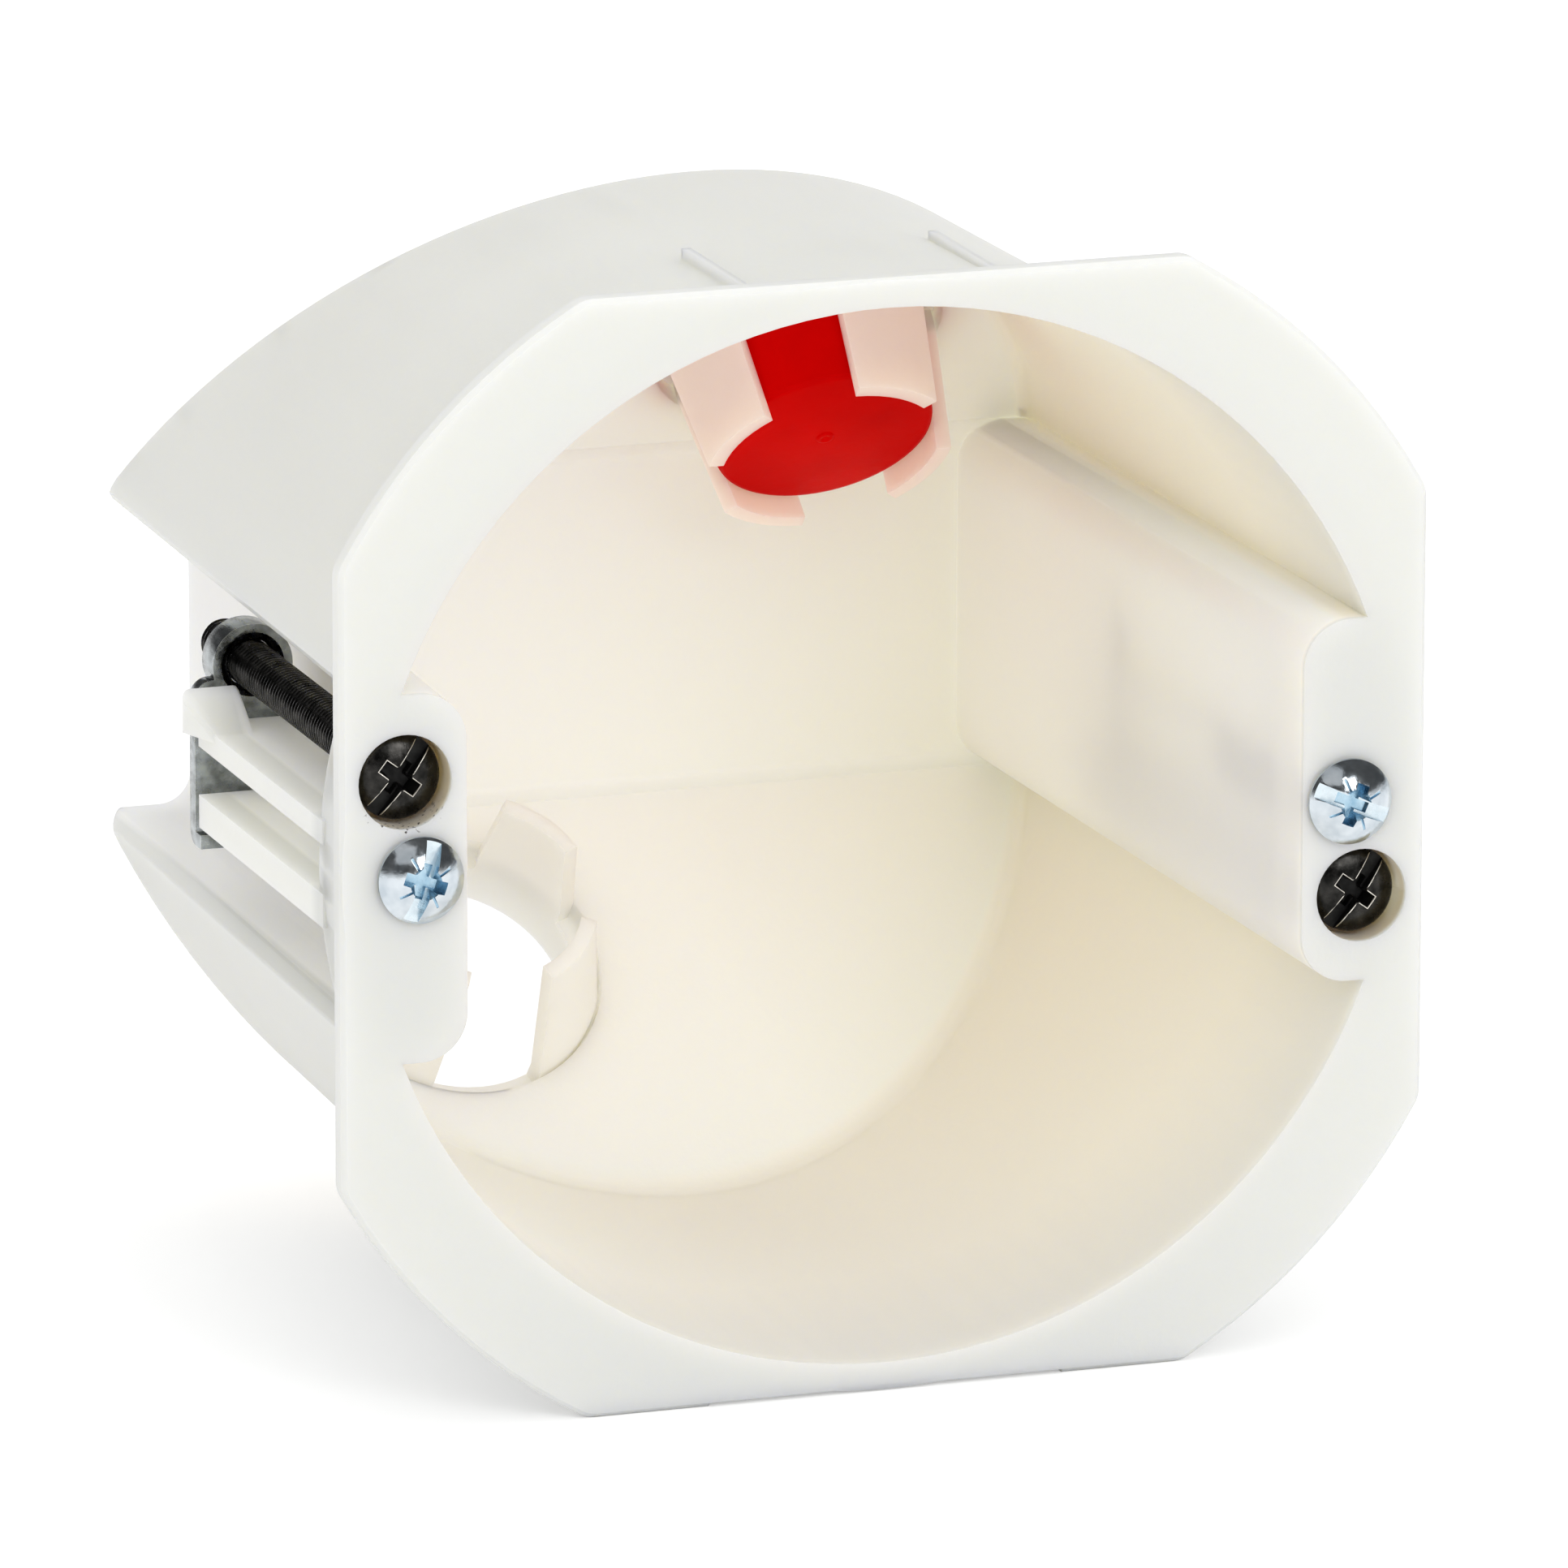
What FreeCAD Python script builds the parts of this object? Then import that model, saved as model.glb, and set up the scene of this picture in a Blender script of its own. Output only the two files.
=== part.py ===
import FreeCAD, Part
import math
import os
import Sketcher
from FreeCAD import Placement, Rotation, Vector

# Hollow-wall device box with two clamping claws, its screws and one tube entry plugged.
# Millimetres. X to the right, Y into the wall, Z up, origin in the middle of the flange's front.

doc = FreeCAD.newDocument("device_box")
sheet = doc.addObject("Spreadsheet::Sheet", "Sizes")
SIZES = [
    # flange and opening
    ("flange_side", 70.0, "flange across its flats"),
    ("flange_corner_dia", 80.0, "circle through the flange's rounded corners"),
    ("flange_thick", 1.4, "flange plate"),
    ("flange_corner_radius", 2.0, "where a flat turns into the corner circle"),
    ("flange_edge_chamfer", 0.3, "softened front rim of the flange"),
    ("relief_width", 23.0, "shallow step in the middle of the bottom flat"),
    ("relief_depth", 0.25, "depth of that step"),
    ("opening_dia", 66.4, "opening at the front"),
    # barrel
    ("box_depth", 60.5, "front of the flange to the back of the box"),
    ("barrel_wall", 1.7, "round wall"),
    ("back_wall", 1.4, "flat back and slanted back walls"),
    ("draft_angle", 1.0, "taper of the round wall, degrees"),
    ("back_band", 23.4, "height of the flat band between the slanted walls"),
    ("outer_edge_chamfer", 1.4, "outer edges at the back"),
    ("inner_edge_chamfer", 0.7, "inner edges at the back"),
    # side channels and ears
    ("ear_gap", 54.0, "between the two ears"),
    ("ear_depth", 5.0, "thickness of an ear"),
    ("ear_corner_radius", 3.0, "corner of an ear towards the opening"),
    ("channel_height", 20.3, "open height of a side channel"),
    ("channel_wall", 0.9, "flat wall between a channel and the inside"),
    ("horn_wall", 1.35, "walls above and below a channel"),
    ("channel_draft", 1.55, "taper of the flat channel wall, degrees"),
    ("horn_edge_chamfer", 1.0, "outer edges along the channels"),
    # ribs in the channels
    ("thick_rib", 2.1, "rib on the far side of the device screw"),
    ("thin_rib", 1.5, "rib on the claw's side of the device screw"),
    ("rib_setback", 0.1, "how far a rib stays inside the flange's flat"),
    ("nose_bulge", 1.2, "how far the nose of the thin rib stands out sideways"),
    ("nose_rise", 2.2, "how far the nose stands up beside the claw screw"),
    ("nose_length", 8.0, "ramp that leads up to the nose"),
    ("nose_width", 2.6, "nose across the channel"),
    ("nose_root", 0.5, "how deep the nose is rooted in its rib"),
    # tube entries
    ("entry_offset", 11.5, "entry from the middle, sideways"),
    ("entry_height", 19.7, "entry from the middle, up or down, on the inner face"),
    ("tube_hole_dia", 19.0, "hole in the slanted wall"),
    ("tube_bore_dia", 16.6, "bore of the collar behind it"),
    ("collar_ledge", 1.4, "plate that closes the hole down to the bore"),
    ("collar_length", 3.4, "collar beyond the slanted wall"),
    ("collar_wall", 1.1, "collar around the bore"),
    ("finger_length", 9.0, "fingers beyond the inner face"),
    ("finger_thick", 1.0, "gripping fingers"),
    ("finger_width", 45.0, "each finger around the bore, degrees"),
    ("relaxed_tip_dia", 12.4, "fingers' tips in the open entry"),
    ("open_finger_turn", 45.0, "first finger of the open entry around its bore, degrees"),
    ("plugged_finger_turn", 22.0, "first finger of the plugged entry, degrees"),
    # blanking plug
    ("plug_reach", 7.5, "closed end of the plug beyond the inner face"),
    ("plug_end_dia", 14.2, "plug at its closed end"),
    ("plug_wall", 0.9, "wall of the plug"),
    ("plug_rim", 0.9, "rim that seats on the collar"),
    ("plug_play", 0.2, "between the plug and the bore"),
    ("plug_finger_play", 0.05, "between the plug's closed end and the tips around it"),
    # screws
    ("device_spacing", 60.0, "between the two device screws"),
    ("device_screw_dia", 3.0, "device screw"),
    ("device_screw_length", 15.0, "device screw under its head"),
    ("device_head_height", 1.5, "domed head of a device screw"),
    ("device_head_dome", 1.2, "height of the dome above the head's edge"),
    ("dome_side", 0.35, "how far the dome has drawn in halfway up"),
    ("dome_top", 1.5, "how far the dome has drawn in at its top"),
    ("head_dia", 5.4, "heads of all four screws"),
    ("claw_screw_offset", 30.9, "claw screw from the middle, sideways"),
    ("claw_screw_height", 6.1, "claw screw from the middle, up or down"),
    ("claw_screw_dia", 3.0, "claw screw"),
    ("claw_screw_length", 35.6, "claw screw under its head"),
    ("claw_head_height", 1.6, "flat head of a claw screw"),
    ("claw_head_depth", 0.85, "how deep the head lies under the flange's front"),
    ("claw_head_edge", 0.3, "bevel around that head"),
    ("screw_tip", 0.5, "chamfer at the end of a screw"),
    ("counterbore_play", 0.25, "counterbore around the claw screw's head"),
    ("screw_play", 0.05, "around a screw in its hole, thread or seat"),
    ("ear_hole_play", 0.15, "around the claw screw in the ear"),
    ("blade_width", 0.8, "arms of the cross recess"),
    ("cross_span", 3.2, "cross recess from end to end"),
    ("cross_depth", 1.2, "cross recess"),
    ("slot_depth", 0.6, "slot across the whole head, through the cross recess"),
    # claws
    ("claw_rest_depth", 31.3, "front face of a claw at rest"),
    ("claw_thick", 1.1, "claw sheet"),
    ("claw_inner_side", 2.9, "claw's edge from its screw, towards the box"),
    ("claw_outer_side", 3.8, "claw's edge from its screw, away from the box"),
    ("boss_dia", 5.2, "round boss that holds the claw's thread"),
    ("boss_length", 2.3, "boss, from the claw's front face to the back"),
    ("boss_countersink", 0.5, "countersink where the screw enters the boss"),
    ("shoulder_drop", 0.8, "claw's shoulder below the screw's axis"),
    ("shoulder_radius", 1.2, "rounding of the shoulder away from the box"),
    ("claw_arm", 11.3, "claw from its screw to the tooth's far face"),
    ("bend_radius", 1.0, "outside of the bend at the tooth"),
    ("tooth_thick", 0.9, "tooth bent forward at the end of the claw"),
    ("tooth_reach", 1.1, "tooth in front of the claw's face"),
    ("claw_gap", 1.45, "claw behind the ends of the ribs"),
    # guide ridges on top of the barrel
    ("ridge_spacing", 16.0, "between the two ridges"),
    ("ridge_width", 0.6, "one ridge"),
    ("ridge_height", 0.35, "one ridge above the barrel"),
    ("ridge_end", 15.0, "where the ridges run out, behind the flange's front"),
]
for row, (alias, number, meaning) in enumerate(SIZES, 1):
    sheet.set("A%d" % row, meaning)
    sheet.set("B%d" % row, str(number))
    sheet.setAlias("B%d" % row, alias)
doc.recompute()


class Size:
    """A size as a number, together with the sheet expression that gives it."""

    def __init__(self, number, text):
        self.number = number
        self.text = text

    def __add__(self, other):
        other = as_size(other)
        return Size(self.number + other.number, "(%s + %s)" % (self.text, other.text))

    def __radd__(self, other):
        return as_size(other) + self

    def __sub__(self, other):
        other = as_size(other)
        return Size(self.number - other.number, "(%s - %s)" % (self.text, other.text))

    def __rsub__(self, other):
        return as_size(other) - self

    def __mul__(self, other):
        other = as_size(other)
        return Size(self.number * other.number, "(%s * %s)" % (self.text, other.text))

    def __rmul__(self, other):
        return as_size(other) * self

    def __truediv__(self, other):
        other = as_size(other)
        return Size(self.number / other.number, "(%s / %s)" % (self.text, other.text))

    def __neg__(self):
        return 0 - self


def as_size(value):
    if isinstance(value, Size):
        return value
    return Size(float(value), repr(float(value)))


def slope_of(angle):
    """Sideways run for each millimetre along a face that leans by this angle."""
    return Size(math.tan(math.radians(angle.number)), "tan(%s * 1 deg)" % angle.text)


def height_on_circle(radius, across):
    """How far a circle stands from its middle line at this distance to the side."""
    return Size(math.sqrt(radius.number ** 2 - across.number ** 2),
                "sqrt(%s ^ 2 - %s ^ 2)" % (radius.text, across.text))


class Sheet:
    """The sheet's cells, read by their aliases."""

    def __getattr__(self, alias):
        return Size(getattr(sheet, alias), "Sizes." + alias)


size = Sheet()
ALONG_Y = Rotation(Vector(1, 0, 0), -90)
HALF_TURN = Rotation(Vector(0, 1, 0), 180)
OVERLAP = 1.0


def bind(thing, **sizes):
    """Ties an object's properties to the sheet."""
    for name, value in sizes.items():
        thing.setExpression(name, as_size(value).text)
    return thing


def put(thing, place, turn=Rotation()):
    """Places an object, with each coordinate tied to the sheet."""
    thing.Placement = Placement(Vector(*[as_size(value).number for value in place]), turn)
    for axis, value in zip("xyz", place):
        thing.setExpression("Placement.Base." + axis, as_size(value).text)
    return thing


def solid(kind, name, place=(0, 0, 0), turn=Rotation(), **sizes):
    """A primitive solid with its sizes and its place tied to the sheet."""
    return put(bind(doc.addObject("Part::" + kind, name), **sizes), place, turn)


def fuse(name, *pieces):
    joined = doc.addObject("Part::MultiFuse", name)
    joined.Shapes = list(pieces)
    joined.Refine = True
    return joined


def cut(name, base, *tools):
    """The base with one or more tools taken out of it."""
    for number, tool in enumerate(tools, 1):
        result = doc.addObject("Part::Cut", name if number == len(tools) else "%s_%d" % (name, number))
        result.Base = base
        result.Tool = tool
        result.Refine = number == len(tools)
        base = result
    return base


def soften(kind, name, base, reach, wanted):
    """A fillet or chamfer along the edges of the base that a test picks."""
    doc.recompute()
    softened = doc.addObject("Part::" + kind, name)
    softened.Base = base
    reach = reach.number
    edges = [(number, reach, reach) for number, edge in enumerate(base.Shape.Edges, 1) if wanted(edge)]
    softened.Edges = edges
    return softened


def new_body(name):
    body = doc.addObject("PartDesign::Body", name)
    body.Label = name
    return body


def outline(body, name, role, corners, offset=None):
    """A closed outline of straight lines, with every corner held by the sheet."""
    sketch = body.newObject("Sketcher::SketchObject", name)
    plane = next(item for item in body.Origin.OriginFeatures if item.Role == role)
    sketch.AttachmentSupport = [(plane, "")]
    sketch.MapMode = "FlatFace"
    if offset is not None:
        sketch.AttachmentOffset = offset
    corners = [(as_size(across), as_size(up)) for across, up in corners]
    points = [Vector(across.number, up.number, 0) for across, up in corners]
    count = len(points)
    for number in range(count):
        sketch.addGeometry(Part.LineSegment(points[number], points[(number + 1) % count]), False)
    for number in range(count):
        sketch.addConstraint(Sketcher.Constraint("Coincident", number, 2, (number + 1) % count, 1))
    for number, corner in enumerate(corners):
        for kind, axis, value in zip(("DistanceX", "DistanceY"), (-2, -1), corner):
            if abs(value.number) < 1e-9:
                sketch.addConstraint(Sketcher.Constraint("PointOnObject", number, 1, axis))
                continue
            index = sketch.addConstraint(Sketcher.Constraint(kind, -1, 1, number, 1, value.number))
            sketch.setExpression("Constraints[%d]" % index, value.text)
    return sketch


def ring(body, name, radius):
    """A circle around the body's origin, across its Y axis."""
    sketch = body.newObject("Sketcher::SketchObject", name)
    plane = next(item for item in body.Origin.OriginFeatures if item.Role == "XZ_Plane")
    sketch.AttachmentSupport = [(plane, "")]
    sketch.MapMode = "FlatFace"
    sketch.addGeometry(Part.Circle(Vector(0, 0, 0), Vector(0, 0, 1), radius.number), False)
    sketch.addConstraint(Sketcher.Constraint("Coincident", 0, 3, -1, 1))
    index = sketch.addConstraint(Sketcher.Constraint("Radius", 0, radius.number))
    sketch.setExpression("Constraints[%d]" % index, radius.text)
    return sketch


def pad(body, name, sketch, length, reverse=False):
    feature = body.newObject("PartDesign::Pad", name)
    feature.Profile = sketch
    feature.Reversed = reverse
    bind(feature, Length=length)
    return feature


def pocket(body, name, sketch, length, reverse=False):
    feature = body.newObject("PartDesign::Pocket", name)
    feature.Profile = sketch
    feature.Reversed = reverse
    bind(feature, Length=length)
    return feature


def turned(body, name, sketch, axis, angle=None):
    """The outline revolved about one of its own sketch axes."""
    feature = body.newObject("PartDesign::Revolution", name)
    feature.Profile = sketch
    feature.ReferenceAxis = (sketch, [axis])
    feature.Angle = 360
    if angle is not None:
        feature.Midplane = True
        bind(feature, Angle=angle)
    return feature


# Main lines of the box

half_side = size.flange_side / 2
opening = size.opening_dia / 2
barrel = opening + size.barrel_wall
draft = slope_of(size.draft_angle)
channel_slope = slope_of(size.channel_draft)
half_band = size.back_band / 2
half_channel = size.channel_height / 2
half_ear = half_channel + size.horn_wall
half_gap = size.ear_gap / 2
inner_depth = size.box_depth - size.back_wall
slant_wall = size.back_wall * math.sqrt(2)
slant_reach = size.box_depth + half_band
rib_end = size.claw_rest_depth - size.claw_gap


def runs_deep(edge):
    """True for an edge that runs from the front towards the back."""
    box = edge.BoundBox
    return box.YLength > 4 * max(box.XLength, box.ZLength)


def barrel_form(name, radius, depth, reach, start, bevel, channel_start, channel_side, channel_half, corner):
    """A tapering round form with two slanted faces at the back and a channel on each side."""
    round_form = solid("Cone", name + "_round", (0, start, 0), ALONG_Y, Radius1=radius - draft * start,
                       Radius2=radius - draft * depth, Height=depth - start)
    slants = []
    for place, lean in (("top", 45), ("bottom", -135)):
        slants.append(solid("Box", "%s_%s_slant" % (name, place), (-barrel, reach, 0),
                            Rotation(Vector(1, 0, 0), lean),
                            Length=2 * barrel, Width=size.box_depth, Height=size.box_depth))
    slanted = cut(name + "_slanted", round_form, *slants)
    soft = soften("Chamfer", name + "_soft", slanted, bevel,
                  lambda edge: edge.BoundBox.YMin > (depth - reach / 2).number and not edge.Degenerated and
                  edge.BoundBox.DiagonalLength > 1)
    tools = []
    near = channel_side - channel_slope * channel_start
    far = channel_side - channel_slope * size.box_depth
    for place, turn in (("right", Rotation()), ("left", HALF_TURN)):
        wedge = solid("Wedge", "%s_%s_channel" % (name, place), turn=turn,
                      Xmin=near, X2min=far, Xmax=2 * barrel, X2max=2 * barrel,
                      Ymin=channel_start, Ymax=size.box_depth,
                      Zmin=-channel_half, Zmax=channel_half, Z2min=-channel_half, Z2max=channel_half)
        tools.append(soften("Fillet", "%s_%s_corners" % (name, place), wedge, corner,
                            lambda edge: runs_deep(edge) and abs(edge.CenterOfMass.x) < barrel.number))
    return cut(name, soft, *tools)


channelled = barrel_form("channelled", barrel, size.box_depth, slant_reach, as_size(0), size.outer_edge_chamfer,
                         size.ear_depth, half_gap + size.channel_wall, half_channel,
                         size.ear_corner_radius - size.channel_wall)
outside = soften("Chamfer", "outside", channelled, size.horn_edge_chamfer,
                 lambda edge: runs_deep(edge) and abs(edge.CenterOfMass.z) < (half_channel + OVERLAP).number and
                 abs(edge.CenterOfMass.x) > (opening - size.barrel_wall).number)
core = barrel_form("core", opening, inner_depth, slant_reach - slant_wall, as_size(-OVERLAP),
                   size.inner_edge_chamfer, as_size(-OVERLAP), half_gap, half_ear, size.ear_corner_radius)

# Flange, with a shallow step in the middle of its bottom flat

flange_disc = solid("Cylinder", "flange_disc", (0, 0, 0), ALONG_Y, Radius=size.flange_corner_dia / 2,
                    Height=size.flange_thick)
flange_square = solid("Box", "flange_square", (-half_side, 0, -half_side), Length=size.flange_side,
                      Width=size.flange_thick, Height=size.flange_side)
flange_plate = doc.addObject("Part::Common", "flange_plate")
flange_plate.Base = flange_disc
flange_plate.Tool = flange_square
flange_corners = soften("Fillet", "flange_corners", flange_plate, size.flange_corner_radius,
                        lambda edge: edge.BoundBox.YLength > size.flange_thick.number / 2)
flange_rim = soften("Chamfer", "flange_rim", flange_corners, size.flange_edge_chamfer,
                    lambda edge: edge.BoundBox.YMax < size.flange_thick.number / 2)
relief = solid("Box", "bottom_relief", (-size.relief_width / 2, -OVERLAP, -half_side - OVERLAP),
               Length=size.relief_width, Width=size.flange_thick + 2 * OVERLAP,
               Height=size.relief_depth + OVERLAP)
flange = cut("flange", flange_rim, relief)

# Tube entries: a stepped collar behind each slanted wall, and four gripping fingers inside

hole = size.tube_hole_dia / 2
bore = size.tube_bore_dia / 2
collar_radius = bore + size.collar_wall
collar_end = size.back_wall + size.collar_length
entry_depth = slant_reach - slant_wall - size.entry_height
ENTRIES = {"plugged": (1, -45), "open": (-1, -135)}


def entry_place(entry, distance):
    """The point on an entry's axis at this distance outside the inner face of its wall."""
    sign = ENTRIES[entry][0]
    step = distance * math.sqrt(0.5)
    return (sign * size.entry_offset, entry_depth + step, sign * (size.entry_height + step))


def entry_turn(entry, around=0.0):
    """Turns +Z to the way out of an entry, after a turn around its own axis."""
    return Rotation(Vector(1, 0, 0), ENTRIES[entry][1]).multiply(Rotation(Vector(0, 0, 1), around))


def entry_cylinder(entry, name, radius, start, end):
    return solid("Cylinder", "%s_%s" % (entry, name), entry_place(entry, as_size(start)), entry_turn(entry),
                 Radius=radius, Height=end - start)


def make_fingers(entry, tip, around):
    """Four fingers that lean inwards from the ledge of the collar to their tips."""
    body = new_body(entry + "_fingers")
    root = size.back_wall + size.collar_ledge / 2
    sketch = outline(body, entry + "_finger_outline", "XZ_Plane",
                     [(bore, root), (bore + size.finger_thick, root), (bore + size.finger_thick, 0),
                      (tip + size.finger_thick, -size.finger_length), (tip, -size.finger_length), (bore, 0)])
    finger = turned(body, entry + "_finger", sketch, "V_Axis", size.finger_width)
    doc.recompute()
    pattern = body.newObject("PartDesign::PolarPattern", entry + "_finger_ring")
    pattern.Originals = [finger]
    pattern.Axis = (next(item for item in body.Origin.OriginFeatures if item.Role == "Z_Axis"), [""])
    pattern.Angle = 360
    pattern.Occurrences = 4
    body.Tip = pattern
    return put(body, entry_place(entry, as_size(0)), entry_turn(entry, around.number))


collars = []
bores = []
for entry in ENTRIES:
    collars.append(entry_cylinder(entry, "ledge", hole + size.collar_ledge, size.back_wall / 2,
                                  size.back_wall + size.collar_ledge))
    collars.append(entry_cylinder(entry, "collar", collar_radius, size.back_wall, collar_end))
    bores.append(entry_cylinder(entry, "hole", hole, -OVERLAP, size.back_wall))
    bores.append(entry_cylinder(entry, "bore", bore, 0, collar_end + OVERLAP))
fingers = [
    make_fingers("plugged", size.plug_end_dia / 2 + size.plug_finger_play, size.plugged_finger_turn),
    make_fingers("open", size.relaxed_tip_dia / 2, size.open_finger_turn),
]

# Ribs in the side channels: the thread of a device screw runs between them, a claw waits behind them

rib_gap = size.device_screw_dia / 2 + size.screw_play
rib_side = half_side - size.rib_setback
wall_middle = half_gap + size.channel_wall / 2
rib_start = size.ear_depth - OVERLAP
nose_start = rib_end - size.nose_length


def make_rib(name, low, high, turn):
    """A rib from the middle of the flat channel wall out to the flange's flat."""
    return solid("Wedge", name, turn=turn, Xmin=-rib_side, X2min=-rib_side,
                 Xmax=-(wall_middle - channel_slope * rib_start), X2max=-(wall_middle - channel_slope * rib_end),
                 Ymin=rib_start, Ymax=rib_end, Zmin=low, Z2min=low, Zmax=high, Z2max=high)


ribs = []
for place, turn in (("left", Rotation()), ("right", HALF_TURN)):
    top = rib_gap + size.thin_rib
    ribs.append(make_rib("thick_rib_" + place, -(rib_gap + size.thick_rib), -rib_gap, turn))
    ribs.append(make_rib("thin_rib_" + place, rib_gap, top, turn))
    nose = solid("Wedge", "nose_form_" + place, turn=turn,
                 Xmin=-rib_side, X2min=-(rib_side + size.nose_bulge),
                 Xmax=-(rib_side - size.nose_width), X2max=-(rib_side - size.nose_width),
                 Ymin=nose_start, Ymax=rib_end, Zmin=top - size.nose_root, Z2min=top - size.nose_root,
                 Zmax=top, Z2max=top + size.nose_rise)
    ribs.append(soften("Fillet", "nose_" + place, nose, size.nose_bulge / 2,
                       lambda edge: abs(edge.CenterOfMass.z) > top.number and
                       abs(edge.CenterOfMass.x) > (rib_side - size.nose_bulge / 2).number))

# Ridges on top of the barrel, close behind the flange

ridges = []
ridge_top = height_on_circle(barrel, size.ridge_spacing / 2) + size.ridge_height
for place, side in (("left", -1), ("right", 1)):
    ridges.append(solid("Box", "ridge_" + place,
                        (side * size.ridge_spacing / 2 - size.ridge_width / 2, 0, ridge_top - size.barrel_wall),
                        Length=size.ridge_width, Width=size.ridge_end, Height=size.barrel_wall))

# Screw holes in the ears

seat_depth = size.claw_head_depth + size.claw_head_height + size.screw_play
ear_holes = []
for place, side in (("left", -1), ("right", 1)):
    claw_axis = (side * size.claw_screw_offset, -OVERLAP, -side * size.claw_screw_height)
    device_axis = (side * size.device_spacing / 2, -OVERLAP, 0)
    ear_holes.append(solid("Cylinder", "counterbore_" + place, claw_axis, ALONG_Y,
                           Radius=size.head_dia / 2 + size.counterbore_play, Height=seat_depth + OVERLAP))
    ear_holes.append(solid("Cylinder", "claw_screw_hole_" + place, claw_axis, ALONG_Y,
                           Radius=size.claw_screw_dia / 2 + size.ear_hole_play,
                           Height=size.ear_depth + 2 * OVERLAP))
    ear_holes.append(solid("Cylinder", "device_screw_hole_" + place, device_axis, ALONG_Y,
                           Radius=rib_gap, Height=size.ear_depth + 2 * OVERLAP))

# The box, one moulding

shell = cut("shell", fuse("shell_with_collars", outside, flange, *collars, *ridges), core, *bores)
box_body = cut("box_body_solid", fuse("shell_with_grips", shell, *fingers, *ribs), *ear_holes)
box_body.Label = "box_body"

# Blanking plug, a hollow cup whose rim seats on the end of the collar

blanking_plug = new_body("blanking_plug")
plug_seat = bore - size.plug_play
plug_end = size.plug_end_dia / 2
plug_outline = outline(blanking_plug, "plug_outline", "XZ_Plane",
                       [(0, -size.plug_reach), (plug_end, -size.plug_reach), (plug_seat, collar_end),
                        (collar_radius, collar_end), (collar_radius, collar_end + size.plug_rim),
                        (plug_seat - size.plug_wall, collar_end + size.plug_rim),
                        (plug_end - size.plug_wall, size.plug_wall - size.plug_reach),
                        (0, size.plug_wall - size.plug_reach)])
turned(blanking_plug, "plug_cup", plug_outline, "V_Axis")
put(blanking_plug, entry_place("plugged", as_size(0)), entry_turn("plugged"))


def work_edges(body, kind, name, feature, wanted, **sizes):
    """A fillet or chamfer on the edges of a body's feature that a test picks, in the body's own frame."""
    doc.recompute()
    worked = body.newObject("PartDesign::" + kind, name)
    edges = ["Edge%d" % number for number, edge in enumerate(feature.Shape.Edges, 1) if wanted(edge)]
    worked.Base = (feature, edges)
    return bind(worked, **sizes)


def at_height(edge, axis, value):
    """True for an edge that lies in one plane across an axis."""
    box = edge.BoundBox
    low, high = (getattr(box, axis + "Min"), getattr(box, axis + "Max"))
    return abs(low - value.number) < 0.01 and abs(high - value.number) < 0.01


# Screws

head = size.head_dia / 2
flat_face = [(head - size.claw_head_edge, 0), (head, size.claw_head_edge)]
domed_face = [(head - size.dome_top, 0), (head - size.dome_side, size.device_head_dome / 2),
              (head, size.device_head_dome)]


def cross(half_width, half_span):
    """The corners of a cross, once round."""
    corners = []
    for across, up in ((1, 1), (-1, 1), (-1, -1), (1, -1)):
        arm_first = [(across * half_width, up * half_span), (across * half_width, up * half_width),
                     (across * half_span, up * half_width)]
        corners.extend(arm_first if across * up < 0 else arm_first[::-1])
    return corners


def make_screw(name, place, recess_turn, head_height, face, shank, length):
    """A screw along Y with a cross recess and a slot, its head's front in the body's origin."""
    body = new_body(name)
    end = head_height + length
    sketch = outline(body, name + "_outline", "XY_Plane",
                     [(0, 0)] + face + [(head, head_height), (shank, head_height),
                      (shank, end - size.screw_tip), (shank - size.screw_tip, end), (0, end)])
    turned(body, name + "_blank", sketch, "V_Axis")
    half_blade = size.blade_width / 2
    recess = outline(body, name + "_cross_outline", "XZ_Plane", cross(half_blade, size.cross_span / 2))
    pocket(body, name + "_cross", recess, size.cross_depth)
    half_slot = head + OVERLAP
    slot = outline(body, name + "_slot_outline", "XZ_Plane",
                   [(-half_slot, -half_blade), (half_slot, -half_blade),
                    (half_slot, half_blade), (-half_slot, half_blade)])
    pocket(body, name + "_slot", slot, size.slot_depth)
    return put(body, place, Rotation(Vector(0, 1, 0), recess_turn))


# Claws: a strip of sheet with a threaded boss on its screw and a tooth bent forward


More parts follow.
